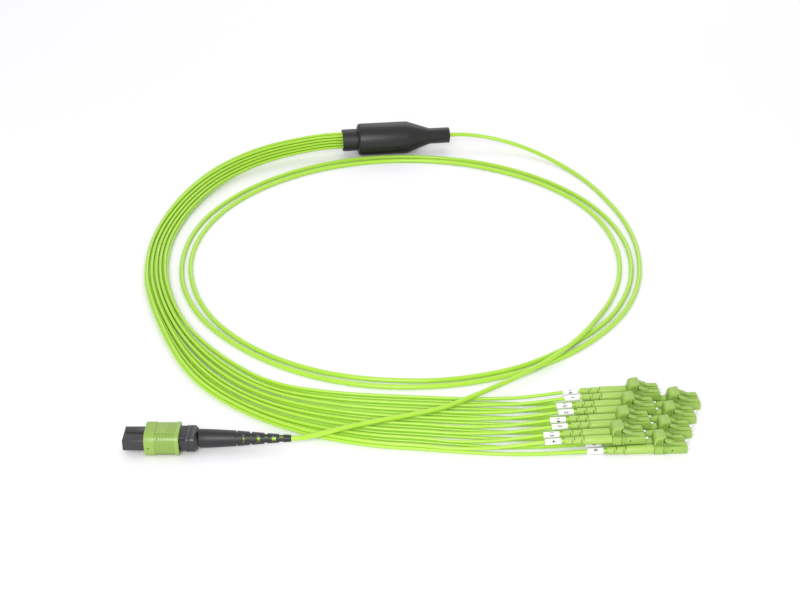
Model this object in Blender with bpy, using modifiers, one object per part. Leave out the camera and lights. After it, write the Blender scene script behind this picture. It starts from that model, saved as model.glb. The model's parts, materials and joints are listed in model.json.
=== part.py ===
"""Fibre breakout cable: a sixteen-fibre plug, a trunk cord laid in a loop, a breakout body,
and sixteen legs that end in eight duplex plugs.

Lengths are in metres and +Z is up. The floor is Z = 0, and the origin lies on it, under the
middle of the box around the plugs and the breakout body.
"""

import math

import bmesh
import bpy
import numpy as np
from mathutils import Matrix, Vector

MM = 0.001
CLEARANCE = 0.3 * MM
TURN_STEPS = 16
SMALL_TURN_STEPS = 8

# The laid cable: from the big plug's front to the farthest ferrule tip along X, and from the
# coupling's outer side to the breakout body's back along Y
LAID_WIDTH = 326.6 * MM
LAID_DEPTH = 409.8 * MM

# Cords
TRUNK_DIA = 3.0 * MM
TRUNK_POINTS = 80
LEG_DIA = 2.0 * MM
LEG_POINTS = 36
LEG_PITCH = 2.35 * MM
LEG_ROW_RISE = LEG_PITCH * math.sqrt(3) / 2
FLOOR_GAP = 0.1 * MM

# Multi-fibre plug, lying flat with its long axis along X
COUPLING_LENGTH = 19.0 * MM
COUPLING_WIDTH = 18.4 * MM
COUPLING_HEIGHT = 14.4 * MM
COUPLING_ROUND = 5.0 * MM
NOSE_LENGTH = 12.0 * MM
NOSE_WIDTH = 14.0 * MM
NOSE_HEIGHT = 6.8 * MM
NOSE_CHAMFER = 1.1 * MM
KEY_WIDTH = 5.0 * MM
KEY_HEIGHT = 0.7 * MM
KEY_OFFSET = 3.0 * MM
KEY_START = 1.0 * MM
FERRULE_WIDTH = 9.4 * MM
FERRULE_HEIGHT = 3.6 * MM
FERRULE_DEPTH = 11.0 * MM
FERRULE_INSET = 0.5 * MM
NECK_WIDTH = 13.0 * MM
NECK_HEIGHT = 8.6 * MM
NECK_SHOWN = 3.5 * MM
REAR_WIDTH = 14.4 * MM
REAR_HEIGHT = 9.4 * MM
REAR_LENGTH = 6.5 * MM
REAR_CHAMFER = 2.4 * MM
PLUG_BOOT_LENGTH = 50.7 * MM
PLUG_BOOT_DIA = 10.7 * MM
PLUG_BOOT_TIP_DIA = 4.2 * MM
PLUG_BOOT_SMOOTH = 19.6 * MM
PLUG_BOOT_NARROWING = 0.9 * MM
PLUG_BOOT_TIP = 4.0 * MM
PLUG_BOOT_WALL = 1.6 * MM
PLUG_BOOT_RINGS = 6
PLUG_BOOT_GROOVE = 2.0 * MM
PLUG_BOOT_GROOVE_DEPTH = 0.7 * MM

# Breakout body, on its own axis from the leg side to the trunk side
BREAKOUT_START_X = -44.7 * MM
BREAKOUT_YAW = math.radians(7.1)
BREAKOUT_DIA = 24.8 * MM
BREAKOUT_LENGTH = 38.7 * MM
BREAKOUT_ROUND = 2.0 * MM
TAPER_LENGTH = 18.0 * MM
TRUNK_SLEEVE_LENGTH = 15.8 * MM
TRUNK_SLEEVE_DIA = 12.2 * MM
LEG_COLLAR_DIA = 17.0 * MM
LEG_COLLAR_LENGTH = 11.6 * MM

# Duplex plugs: body, latch, boot and clip, with X = 0 at the clip's rear face
PLUG_PITCH = 6.25 * MM
BODY_SIDE = 4.52 * MM
BODY_LENGTH = 18.4 * MM
BODY_NECK_SIDE = 3.5 * MM
FIBRE_FERRULE_DIA = 1.25 * MM
FIBRE_FERRULE_REACH = 1.75 * MM
FIBRE_FERRULE_ROOT = 1.0 * MM
BOOT_DIA = 5.0 * MM
BOOT_SMOOTH = 15.3 * MM
BOOT_RIBBED = 10.7 * MM
BOOT_REAR_DIA = 3.9 * MM
BOOT_NECK_DIA = 4.4 * MM
BOOT_GROOVE = 0.9 * MM
BOOT_GROOVE_DEPTH = 0.45 * MM
LATCH_WIDTH = 2.9 * MM
LATCH_ROOT = 0.6 * MM
CLIP_LENGTH = 4.85 * MM
CLIP_WIDTH = 11.2 * MM
CLIP_RISE = 0.2 * MM
TRIGGER_WIDTH = 7.7 * MM

# Side views in millimetres. The latch: back from its root, and up from the plug's top face. The
# trigger: forward from the clip's rear face, and up from the plug's top face
LATCH_SHAPE = (
    (0, -0.3), (0, 1.1), (0.7, 1.5), (6.0, 1.5), (6.8, 2.1), (12.2, 4.3), (12.5, 3.1), (7.0, 0.7),
    (2.6, 0.5), (2.6, -0.3),
)
TRIGGER_SHAPE = (
    (0, -0.1), (0, 4.2), (0.4, 5.2), (1.4, 5.7), (5.85, 6.1), (6.0, 5.55), (4.7, 4.5), (4.4, 3.7),
    (4.85, 1.1), (4.85, -0.1),
)

# Eight duplex plugs in two layers of four rows, each turned a little about the vertical
ROWS = 4
PLUG_YAW = math.radians(3.5)
FRONT_ROW_INSET = 9.1 * MM
ROW_STEP = Vector((-4.9, -13.8, 0)) * MM
LOWER_LAYER_SHIFT = Vector((23.2, -2.0, 0)) * MM

# The laid size, in millimetres, that the routes' points below were chosen for
ROUTE_WIDTH = 326.6
ROUTE_DEPTH = 409.8

# The trunk's route in millimetres, chosen by eye, between the big plug's boot and the breakout
# body's sleeve
TRUNK_ROUTE = (
    (-67, -195.5, 7.2), (-58, -192.2, 7.0), (-42, -185, 6.6), (-23, -178.4, 6.6),
    (-5, -172.6, 6.6), (12, -166.3, 6.6), (32, -153.4, 6.6), (47, -141.4, 5.7), (66, -125.3, 5.0),
    (83, -108.7, 4.9), (99, -89.3, 4.9), (106.6, -77.5, 4.7), (113, -64.6, 3.2), (125.6, -38, 1.6),
    (134, -12, 1.6), (138, 15, 1.6), (137.5, 43, 1.6), (131.5, 73, 1.6), (117, 105, 1.6),
    (94, 132.8, 1.6), (65, 153.7, 1.6), (35, 166.9, 1.6), (11, 171.6, 1.6), (-12, 172.4, 1.6),
    (-43, 167.7, 1.6), (-73, 156.3, 1.6), (-102, 136.4, 1.6), (-129.6, 104.7, 1.6), (-144, 76, 1.6),
    (-152.4, 43, 1.6), (-153.3, 8, 1.6), (-150, -12, 1.6), (-142, -38, 1.6), (-129.5, -62.8, 1.6),
    (-111, -86.3, 1.6), (-84, -108.6, 1.6), (-59.5, -121.3, 1.6), (-35, -128.4, 1.6), (-11.6, -131, 1.6),
    (12, -130.6, 1.6), (36, -125.8, 1.6), (60.6, -116.3, 1.6), (83.8, -101, 1.6), (102.5, -84, 1.6),
    (120.4, -62.8, 1.6), (133.5, -38, 1.6), (142, -12, 1.6), (145.9, 15, 1.6), (145, 43, 1.6),
    (138.4, 73, 1.6), (124, 105, 1.6), (104, 131.2, 1.6), (80.4, 152.1, 1.6), (50.5, 168.6, 1.6),
    (19.7, 177, 1.6), (-11.6, 179.2, 1.6), (-43, 175.3, 1.6), (-73.5, 164, 1.6), (-103, 144.4, 1.6),
    (-130.5, 114.7, 1.6), (-149, 81, 1.6), (-158.5, 43.4, 1.6), (-159.4, 10.7, 1.6), (-156.4, -12, 1.6),
    (-148.6, -38, 1.6), (-136.2, -62.8, 1.6), (-118, -86.3, 1.6), (-93, -109, 1.6), (-71.5, -122.5, 1.6),
    (-47, -132.3, 1.6), (-23.4, -137, 1.6), (0, -137.6, 1.6), (24, -134.6, 1.6), (48, -127.4, 1.6),
    (73, -115.4, 1.6), (99, -96, 1.6), (112, -82.3, 1.6), (126.7, -62.8, 1.6), (139.4, -38, 1.6),
    (147.6, -12, 1.6), (151.7, 15, 1.6), (152.3, 43, 1.6), (149, 73, 1.6), (141, 105, 1.6),
    (126.5, 142, 1.6), (113, 163.5, 2.2), (98, 179.5, 3.9), (82, 190.4, 6.2), (66, 196, 8.8),
    (50, 198.3, 11), (36, 197.9, 12.3),
)

# The bundle's route in millimetres: x, y, lift off the floor, twist in degrees, and spread from 0
# (a tight bundle) to 1 (two flat layers of eight)
BUNDLE_ROUTE = (
    (-56.85, 186.29, 5.4, -90, 0), (-66.8, 185.0, 5.4, -90, 0), (-89, 179.6, 4.0, -87, 0),
    (-119, 163, 2.6, -76, 0), (-147, 132.5, 1.2, -56, 0), (-165, 95.5, 0.4, -34, 0.01),
    (-173.5, 65, 0, -16, 0.03), (-177, 37, 0, -5, 0.05), (-176.3, 9.5, 0, 0, 0.06),
    (-172.4, -16.6, 0, 0, 0.07), (-165.4, -41.8, 0, 0, 0.08), (-156.4, -65.9, 0, 0, 0.11),
    (-145.5, -88.8, 0, 0, 0.2), (-132.6, -110.2, 0, 0, 0.34), (-118.5, -128, 0, 0, 0.45),
    (-105.5, -140.6, 0, 0, 0.5), (-93, -149.7, 0, 0, 0.56), (-80.8, -156.4, 0, 0, 0.64),
    (-69, -161.2, 0, 0, 0.73), (-45.8, -167.8, 0, 0, 0.87), (-23, -171.8, 0, 0, 0.97),
    (0, -174, 0, 0, 1),
)
SPREAD_PITCH = 6.6 * MM
LAYER_RISE = LEG_PITCH
UPPER_SLOTS = ((2, 1), (1.5, 0), (1, 1), (0, 1), (-0.5, 0), (-1, 1), (-1.5, 0), (-2, 1))
LOWER_SLOTS = ((2.5, 0), (2, -1), (1, -1), (0.5, 0), (0, -1), (-1, -1), (-2, -1), (-2.5, 0))

# Each leg's way into its boot: millimetres back from the boot, and the share of its rise that is done
LEAD_IN = ((50, 0), (37, 0.12), (23, 0.52), (10, 0.92), (0, 1))

# Sizes and places that follow from the ones above
PLUG_AXIS_Z = COUPLING_HEIGHT / 2
PLUG_FRONT = Vector((-LAID_WIDTH / 2, (COUPLING_WIDTH - LAID_DEPTH) / 2, PLUG_AXIS_Z))
NOSE_REACH = NOSE_LENGTH + COUPLING_LENGTH - CLEARANCE
REAR_START = NOSE_LENGTH + COUPLING_LENGTH + NECK_SHOWN
PLUG_BOOT_START = REAR_START + REAR_LENGTH + CLEARANCE
COUPLING_BORE_WIDTH = NOSE_WIDTH + 2.5 * CLEARANCE
COUPLING_BORE_HEIGHT = max(NOSE_HEIGHT + 2 * KEY_HEIGHT, NECK_HEIGHT) + 2 * CLEARANCE
BREAKOUT_AXIS_Z = BREAKOUT_DIA / 2
BREAKOUT_BACK = BREAKOUT_LENGTH * math.sin(BREAKOUT_YAW) + BREAKOUT_DIA / 2 * math.cos(BREAKOUT_YAW)
BREAKOUT_START = Vector((BREAKOUT_START_X, LAID_DEPTH / 2 - BREAKOUT_BACK, BREAKOUT_AXIS_Z))
BREAKOUT_END = BREAKOUT_LENGTH + TAPER_LENGTH + TRUNK_SLEEVE_LENGTH
LOWER_AXIS_Z = BOOT_DIA / 2
UPPER_AXIS_Z = BOOT_DIA + CLEARANCE + BODY_SIDE / 2
TIP_AHEAD = (BODY_LENGTH + FIBRE_FERRULE_REACH) * math.cos(PLUG_YAW)
TIP_ASIDE = (PLUG_PITCH + FIBRE_FERRULE_DIA) / 2 * math.sin(PLUG_YAW)
FIRST_ROW_X = LAID_WIDTH / 2 - LOWER_LAYER_SHIFT.x - TIP_AHEAD - TIP_ASIDE
FIRST_ROW_Y = FRONT_ROW_INSET - LAID_DEPTH / 2 - LOWER_LAYER_SHIFT.y - (ROWS - 1) * ROW_STEP.y
LEGS = 4 * ROWS

# Each duplex plug joins two legs whose numbers add up to one more than the number of legs
PAIRS = [(LEGS + 1 - number, number) for number in range(1, 2 * ROWS + 1)]
UPPER_NUMBERS = [number for pair in PAIRS[:ROWS] for number in pair]
LOWER_NUMBERS = [number for pair in PAIRS[ROWS:] for number in pair]

LIME = (0.42, 0.80, 0.05, 1)
GREEN = (0.40, 0.66, 0.16, 1)
BLACK = (0.03, 0.03, 0.032, 1)


def clear_scene():
    for obj in list(bpy.data.objects):
        bpy.data.objects.remove(obj, do_unlink=True)


def make_collection(name):
    collection = bpy.data.collections.new(name)
    bpy.context.scene.collection.children.link(collection)
    return collection


def make_material(name, colour, roughness):
    material = bpy.data.materials.new(name)
    material.use_nodes = True
    shader = material.node_tree.nodes["Principled BSDF"]
    shader.inputs["Base Color"].default_value = colour
    shader.inputs["Roughness"].default_value = roughness
    shader.inputs["Metallic"].default_value = 0.0
    return material


def add_object(name, data, collection):
    obj = bpy.data.objects.new(name, data)
    collection.objects.link(obj)
    return obj


def box(name, size, centre, collection, edge_round=0, segments=1):
    """A box whose four edges along X are rounded or chamfered."""
    mesh = bpy.data.meshes.new(name)
    bm = bmesh.new()
    bmesh.ops.create_cube(bm, size=1.0)
    bmesh.ops.scale(bm, vec=size, verts=bm.verts)
    if edge_round:
        edges = [e for e in bm.edges if abs(e.verts[0].co.x - e.verts[1].co.x) > size[0] / 2]
        bmesh.ops.bevel(bm, geom=edges, offset=edge_round, segments=segments, profile=0.5, affect="EDGES")
    bmesh.ops.translate(bm, vec=centre, verts=bm.verts)
    bm.to_mesh(mesh)
    bm.free()
    return add_object(name, mesh, collection)


def turned(name, profile, collection, steps=TURN_STEPS):
    """A solid turned about the X axis from (x, radius) points, its ends closed on the axis."""
    mesh = bpy.data.meshes.new(name)
    points = [(profile[0][0], 0.0)] + list(profile) + [(profile[-1][0], 0.0)]
    bm = bmesh.new()
    verts = [bm.verts.new((x, 0, r)) for x, r in points]
    for first, second in zip(verts, verts[1:]):
        bm.edges.new((first, second))
    bm.to_mesh(mesh)
    bm.free()
    obj = add_object(name, mesh, collection)
    screw = obj.modifiers.new("Screw", "SCREW")
    screw.axis = "X"
    screw.steps = steps
    screw.render_steps = steps
    screw.use_merge_vertices = True
    screw.merge_threshold = 0.00001
    screw.use_normal_calculate = True
    return as_mesh(obj, collection)


def outline(name, points, width, collection):
    """A flat outline of (x, z) points, extruded to its width along Y."""
    curve = bpy.data.curves.new(name, "CURVE")
    curve.dimensions = "2D"
    curve.fill_mode = "BOTH"
    curve.extrude = width / 2
    curve.resolution_u = 1
    spline = curve.splines.new("POLY")
    spline.points.add(len(points) - 1)
    for point, (x, z) in zip(spline.points, points):
        point.co = (x, z, 0, 1)
    spline.use_cyclic_u = True
    obj = add_object(name, curve, collection)
    obj.rotation_euler = (math.radians(90), 0, 0)
    return as_mesh(obj, collection)


def as_mesh(obj, collection):
    """The evaluated shape as a plain, closed mesh in world axes; the source object goes."""
    bpy.context.view_layer.update()
    evaluated = obj.evaluated_get(bpy.context.evaluated_depsgraph_get())
    mesh = bpy.data.meshes.new_from_object(evaluated)
    mesh.transform(obj.matrix_world)
    bm = bmesh.new()
    bm.from_mesh(mesh)
    bmesh.ops.remove_doubles(bm, verts=bm.verts, dist=0.000005)
    bmesh.ops.recalc_face_normals(bm, faces=bm.faces)
    bm.to_mesh(mesh)
    bm.free()
    name = obj.name
    bpy.data.objects.remove(obj, do_unlink=True)
    result = add_object(name, mesh, collection)
    result.name = name
    return result


def combine(base, others, operation, collection):
    """One solid from the base and the others, joined or cut exactly."""
    for other in others:
        other.hide_render = True
        other.display_type = "WIRE"
        boolean = base.modifiers.new(other.name, "BOOLEAN")
        boolean.operation = operation
        boolean.object = other
    result = as_mesh(base, collection)
    for other in others:
        bpy.data.objects.remove(other, do_unlink=True)
    return result


def shade(obj, material):
    obj.data.materials.clear()
    obj.data.materials.append(material)
    if obj.type == "MESH":
        obj.data.shade_smooth()
        obj.data.set_sharp_from_angle(angle=math.radians(35))


def frame(name, location, collection, yaw=0):
    empty = add_object(name, None, collection)
    empty.location = location
    empty.rotation_euler = (0, 0, yaw)
    return empty


def laid(x, y):
    """A chosen point of a route, in metres, stretched with the laid size."""
    return (x / ROUTE_WIDTH * LAID_WIDTH, y / ROUTE_DEPTH * LAID_DEPTH)


def smooth_route(points, count, knots=None):
    """Points along a smooth curve through the chosen ones, evenly spread over the knots."""
    route = np.array(points, dtype=float)
    if knots is None:
        knots = route_knots(route)
    steps = np.diff(knots)[:, None]
    slopes = np.diff(route, axis=0) / steps
    inner = (steps[1:] * slopes[:-1] + steps[:-1] * slopes[1:]) / (steps[1:] + steps[:-1])
    tangents = np.vstack([1.5 * slopes[:1] - 0.5 * inner[:1], inner, 1.5 * slopes[-1:] - 0.5 * inner[-1:]])
    result = []
    for place in np.linspace(knots[0], knots[-1], count):
        i = min(int(np.searchsorted(knots, place, side="right")) - 1, len(steps) - 1)
        h = steps[i, 0]
        t = (place - knots[i]) / h
        point = (2 * t**3 - 3 * t**2 + 1) * route[i] + (t**3 - 2 * t**2 + t) * h * tangents[i]
        point = point + (3 * t**2 - 2 * t**3) * route[i + 1] + (t**3 - t**2) * h * tangents[i + 1]
        result.append(tuple(float(value) for value in point))
    return result


def route_knots(route):
    lengths = np.linalg.norm(np.diff(route, axis=0), axis=1)
    return np.concatenate([[0.0], np.cumsum(lengths)])


def cord(name, points, diameter, material, collection):
    curve = bpy.data.curves.new(name, "CURVE")
    curve.dimensions = "3D"
    curve.bevel_depth = diameter / 2
    curve.bevel_resolution = 2
    curve.render_resolution_u = 0
    curve.use_fill_caps = True
    spline = curve.splines.new("POLY")
    spline.points.add(len(points) - 1)
    for point, place in zip(spline.points, points):
        point.co = (*place, 1)
    curve.materials.append(material)
    return add_object(name, curve, collection)


def leg_station(gate, side, slot, column, layer):
    """Where one leg crosses a gate of the bundle's route, in metres."""
    x, y = laid(*gate[:2])
    lift, twist, spread = gate[2:]
    across = (1 - spread) * slot[0] * LEG_PITCH + spread * column * SPREAD_PITCH
    rise = (1 - spread) * slot[1] * LEG_ROW_RISE + spread * layer * LAYER_RISE / 2
    angle = math.radians(twist)
    sideways = across * math.cos(angle) - rise * math.sin(angle)
    upwards = across * math.sin(angle) + rise * math.cos(angle)
    half_width = (1 - spread) * 2.5 * LEG_PITCH * abs(math.sin(angle))
    half_height = ((1 - spread) * LEG_ROW_RISE + spread * LAYER_RISE / 2) * math.cos(angle)
    centre_z = half_width + half_height + LEG_DIA / 2 + FLOOR_GAP + lift * MM
    return (x + side[0] * sideways, y + side[1] * sideways, centre_z + upwards)


def bundle_sides():
    """The level direction across the bundle at each gate, towards the inside of the loop."""
    places = np.array([laid(*gate[:2]) for gate in BUNDLE_ROUTE], dtype=float)
    ahead = np.gradient(places, axis=0)
    ahead /= np.linalg.norm(ahead, axis=1)[:, None]
    return [(-float(dy), float(dx)) for dx, dy in ahead]


def leg_routes(duplex_places):
    """The smooth points of all sixteen legs, keyed by the leg's number."""
    sides = bundle_sides()
    controls = {}
    layers = ((UPPER_NUMBERS, UPPER_SLOTS, 1), (LOWER_NUMBERS, LOWER_SLOTS, -1))
    for numbers, slots, layer in layers:
        for index, number in enumerate(numbers):
            column = (len(numbers) - 1) / 2 - index
            stations = [
                leg_station(gate, side, slots[index], column, layer)
                for gate, side in zip(BUNDLE_ROUTE, sides)
            ]
            start_z = stations[-1][2]
            boot_end = Vector((-BOOT_SMOOTH - BOOT_RIBBED - CLEARANCE, 0, 0))
            entry = duplex_places[number] + Matrix.Rotation(PLUG_YAW, 3, "Z") @ boot_end
            for back, risen in LEAD_IN:
                height = start_z + (entry.z - start_z) * risen
                aside = back * (1 - back / LEAD_IN[0][0] / 2) * math.sin(PLUG_YAW)
                stations.append((entry.x - back * MM, entry.y - aside * MM, height))
            controls[number] = stations
    knots = route_knots(np.mean([controls[number] for number in sorted(controls)], axis=0))
    return {number: smooth_route(stations, LEG_POINTS, knots) for number, stations in controls.items()}


def duplex_layout():
    """The place of each duplex plug: its name, its clip's rear face, and its two leg numbers."""
    layout = []
    for numbers, shift, axis_z in (
        (UPPER_NUMBERS, Vector((0, 0, 0)), UPPER_AXIS_Z),
        (LOWER_NUMBERS, LOWER_LAYER_SHIFT, LOWER_AXIS_Z),
    ):
        for row in range(ROWS):
            place = Vector((FIRST_ROW_X, FIRST_ROW_Y, axis_z)) + row * ROW_STEP + shift
            layout.append((len(layout) + 1, place, numbers[2 * row : 2 * row + 2]))
    return layout


def boot_profile():
    """The duplex plug's boot: a ribbed rear part with two grooves, then a plain sleeve."""
    rear = -BOOT_SMOOTH - BOOT_RIBBED
    pitch = BOOT_RIBBED / 2
    profile = [(rear, BOOT_REAR_DIA / 2)]
    for groove in (1, 2):
        end = rear + groove * pitch
        radius = (BOOT_REAR_DIA + (BOOT_NECK_DIA - BOOT_REAR_DIA) * groove / 2) / 2
        depth = radius - BOOT_GROOVE_DEPTH
        profile += [(end - BOOT_GROOVE, radius), (end - BOOT_GROOVE, depth), (end, depth)]
    profile += [(-BOOT_SMOOTH, BOOT_DIA / 2), (-CLEARANCE, BOOT_DIA / 2)]
    return profile


def latch_outline():
    """The latch's side view: a root at the front, a low block, and an arm that rises to the rear."""
    root = BODY_LENGTH - LATCH_ROOT
    return [(root - back * MM, BODY_SIDE / 2 + up * MM) for back, up in LATCH_SHAPE]


def trigger_outline():
    """The clip's trigger: a wall at the clip's rear that arches up and forward."""
    return [(ahead * MM, BODY_SIDE / 2 + up * MM) for ahead, up in TRIGGER_SHAPE]


def build_duplex_plugs(parts, layout, green):
    shoulder = CLIP_LENGTH + CLEARANCE
    body = box(
        "lc_body", (BODY_LENGTH - shoulder, BODY_SIDE, BODY_SIDE), ((BODY_LENGTH + shoulder) / 2, 0, 0), parts)
    neck_rear = -BOOT_DIA / 2
    neck = box(
        "lc_neck", (shoulder + BODY_SIDE / 2 - neck_rear, BODY_NECK_SIDE, BODY_NECK_SIDE),
        ((shoulder + BODY_SIDE / 2 + neck_rear) / 2, 0, 0), parts)
    boot = turned("lc_boot", boot_profile(), parts, SMALL_TURN_STEPS)
    latch = outline("lc_latch", latch_outline(), LATCH_WIDTH, parts)
    tip = BODY_LENGTH + FIBRE_FERRULE_REACH
    ferrule_radius = FIBRE_FERRULE_DIA / 2
    ferrule = turned(
        "lc_ferrule", [(BODY_LENGTH - FIBRE_FERRULE_ROOT, ferrule_radius), (tip, ferrule_radius)], parts,
        SMALL_TURN_STEPS)
    plug = combine(body, [neck, boot, latch, ferrule], "UNION", parts)
    plug_mesh = plug.data
    bpy.data.objects.remove(plug, do_unlink=True)

    clip_height = BODY_SIDE + CLIP_RISE
    clip = box(
        "clip_block", (CLIP_LENGTH, CLIP_WIDTH, clip_height),
        (CLIP_LENGTH / 2, 0, clip_height / 2 - BODY_SIDE / 2), parts)
    bore_side = BODY_NECK_SIDE + 2 * CLEARANCE
    bores = [
        box(
            "clip_bore", (CLIP_LENGTH * 2, bore_side, bore_side * 2),
            (CLIP_LENGTH / 2, side * PLUG_PITCH / 2, -bore_side / 2), parts)
        for side in (-1, 1)
    ]
    clip = combine(clip, bores, "DIFFERENCE", parts)
    trigger = outline("clip_trigger", trigger_outline(), TRIGGER_WIDTH, parts)
    clip = combine(clip, [trigger], "UNION", parts)
    clip_mesh = clip.data
    bpy.data.objects.remove(clip, do_unlink=True)

    places = {}
    for index, place, numbers in layout:
        holder = frame(f"duplex_frame_{index}", place, parts, PLUG_YAW)
        clip = add_object(f"duplex_clip_{index}", clip_mesh, parts)
        clip.parent = holder
        shade(clip, green)
        for number, side in zip(numbers, (1, -1)):
            plug = add_object(f"lc_plug_{number:02d}", plug_mesh, parts)
            plug.parent = holder
            plug.location = (0, side * PLUG_PITCH / 2, 0)
            shade(plug, green)
            places[number] = place + Matrix.Rotation(PLUG_YAW, 3, "Z") @ plug.location
    return places


def plug_boot_profile():
    """The big plug's boot: a plain front part, then grooved rings that taper to the cord."""
    start = PLUG_BOOT_START
    end = start + PLUG_BOOT_LENGTH
    front_radius = PLUG_BOOT_DIA / 2
    smooth_end = start + PLUG_BOOT_SMOOTH
    smooth_radius = front_radius - PLUG_BOOT_NARROWING
    tip_radius = PLUG_BOOT_TIP_DIA / 2
    ring_pitch = (PLUG_BOOT_LENGTH - PLUG_BOOT_SMOOTH - PLUG_BOOT_TIP) / PLUG_BOOT_RINGS
    slope = (tip_radius - smooth_radius) / (ring_pitch * PLUG_BOOT_RINGS)
    profile = [(start, front_radius), (smooth_end, smooth_radius)]
    for ring in range(PLUG_BOOT_RINGS):
        x = smooth_end + ring * ring_pitch
        radius = smooth_radius + slope * ring * ring_pitch
        floor_radius = max(radius - PLUG_BOOT_GROOVE_DEPTH, PLUG_BOOT_WALL)
        after = radius + slope * PLUG_BOOT_GROOVE
        profile += [(x, floor_radius), (x + PLUG_BOOT_GROOVE, floor_radius), (x + PLUG_BOOT_GROOVE, after)]
        if ring < PLUG_BOOT_RINGS - 1:
            profile.append((x + ring_pitch, radius + slope * ring_pitch))
    profile += [(end - PLUG_BOOT_TIP, tip_radius), (end, tip_radius)]
    return profile


def build_multi_fibre_plug(parts, green, black):
    holder = frame("mpo_frame", PLUG_FRONT, parts)

    nose = box(
        "mpo_housing", (NOSE_REACH, NOSE_WIDTH, NOSE_HEIGHT), (NOSE_REACH / 2, 0, 0), parts, NOSE_CHAMFER)
    key = box(
        "mpo_key", (NOSE_LENGTH, KEY_WIDTH, KEY_HEIGHT * 2),
        (NOSE_LENGTH / 2 + KEY_START, KEY_OFFSET, NOSE_HEIGHT / 2), parts)
    nose = combine(nose, [key], "UNION", parts)
    pocket_depth = FERRULE_INSET + FERRULE_DEPTH + CLEARANCE
    pocket = box(
        "mpo_pocket",
        (pocket_depth * 2, FERRULE_WIDTH + 2 * CLEARANCE, FERRULE_HEIGHT + 2 * CLEARANCE), (0, 0, 0), parts)
    nose = combine(nose, [pocket], "DIFFERENCE", parts)

    ferrule = box(
        "mpo_ferrule", (FERRULE_DEPTH, FERRULE_WIDTH, FERRULE_HEIGHT),
        (FERRULE_INSET + FERRULE_DEPTH / 2, 0, 0), parts)

    middle = NOSE_LENGTH + COUPLING_LENGTH / 2
    coupling = box(
        "mpo_coupling", (COUPLING_LENGTH, COUPLING_WIDTH, COUPLING_HEIGHT), (middle, 0, 0), parts,
        COUPLING_ROUND, 4)
    bore = box(
        "coupling_bore", (COUPLING_LENGTH * 2, COUPLING_BORE_WIDTH, COUPLING_BORE_HEIGHT),
        (middle, 0, 0), parts)
    coupling = combine(coupling, [bore], "DIFFERENCE", parts)

    neck_start = NOSE_REACH + CLEARANCE
    neck_length = REAR_START + REAR_LENGTH / 2 - neck_start
    rear = box(
        "mpo_rear_body", (REAR_LENGTH, REAR_WIDTH, REAR_HEIGHT),
        (REAR_START + REAR_LENGTH / 2, 0, 0), parts, REAR_CHAMFER)
    neck = box(
        "mpo_neck", (neck_length, NECK_WIDTH, NECK_HEIGHT), (neck_start + neck_length / 2, 0, 0), parts,
        NOSE_CHAMFER)
    rear = combine(rear, [neck], "UNION", parts)

    boot = turned("mpo_boot", plug_boot_profile(), parts)

    for obj, material in (
        (nose, black), (ferrule, black), (coupling, green), (rear, black), (boot, black),
    ):
        obj.parent = holder
        shade(obj, material)


def build_breakout(parts, black):
    holder = frame("breakout_frame", BREAKOUT_START, parts, BREAKOUT_YAW)
    radius = BREAKOUT_DIA / 2
    sleeve_radius = TRUNK_SLEEVE_DIA / 2
    sleeve_start = BREAKOUT_LENGTH + TAPER_LENGTH
    body = turned("breakout_body", [
        (0, radius - BREAKOUT_ROUND), (BREAKOUT_ROUND, radius), (BREAKOUT_LENGTH, radius),
        (sleeve_start, sleeve_radius), (BREAKOUT_END, sleeve_radius),
    ], parts)
    collar_radius = LEG_COLLAR_DIA / 2
    collar = turned("leg_collar", [
        (-CLEARANCE - LEG_COLLAR_LENGTH, collar_radius), (-CLEARANCE, collar_radius),
    ], parts)
    for obj in (body, collar):
        obj.parent = holder
        shade(obj, black)


def trunk_route():
    """The trunk's points, from just behind the big plug's boot to the breakout body's sleeve."""
    boot_end = PLUG_BOOT_START + PLUG_BOOT_LENGTH + CLEARANCE
    sleeve_end = BREAKOUT_END + CLEARANCE
    start = PLUG_FRONT + Vector((boot_end, 0, 0))
    end = BREAKOUT_START + sleeve_end * Vector((math.cos(BREAKOUT_YAW), math.sin(BREAKOUT_YAW), 0))
    chosen = [(*laid(x, y), z * MM) for x, y, z in TRUNK_ROUTE]
    points = smooth_route([tuple(start), *chosen, tuple(end)], TRUNK_POINTS)
    ahead = TRUNK_DIA * Vector((math.cos(BREAKOUT_YAW), math.sin(BREAKOUT_YAW), 0))
    points[1:1] = [tuple(start + Vector((TRUNK_DIA, 0, 0)))]
    points[-1:-1] = [tuple(end + ahead)]
    return points


def main():
    clear_scene()
    parts = make_collection("fibre_breakout_cable")
    lime = make_material("lime_jacket", LIME, 0.38)
    green = make_material("green_plastic", GREEN, 0.42)
    black = make_material("black_plastic", BLACK, 0.5)

    build_multi_fibre_plug(parts, green, black)
    build_breakout(parts, black)
    duplex_places = build_duplex_plugs(parts, duplex_layout(), green)

    cord("trunk_cord", trunk_route(), TRUNK_DIA, lime, parts)
    for number, points in sorted(leg_routes(duplex_places).items()):
        cord(f"leg_cord_{number:02d}", points, LEG_DIA, lime, parts)
    bpy.context.view_layer.update()


main()
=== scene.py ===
"""Fibre breakout cable, the looks: jackets, number sleeves, plugs, clips and a small studio.

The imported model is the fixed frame, in metres, with +Z up. Every piece is built where that frame
says and rides on one of its bodies. Shapes are given in millimetres in their own plug's axes.
"""
import json
import math

import bmesh
import bpy
import numpy as np
from bpy.props import FloatProperty, FloatVectorProperty, IntProperty, PointerProperty
from mathutils import Matrix, Vector


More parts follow.
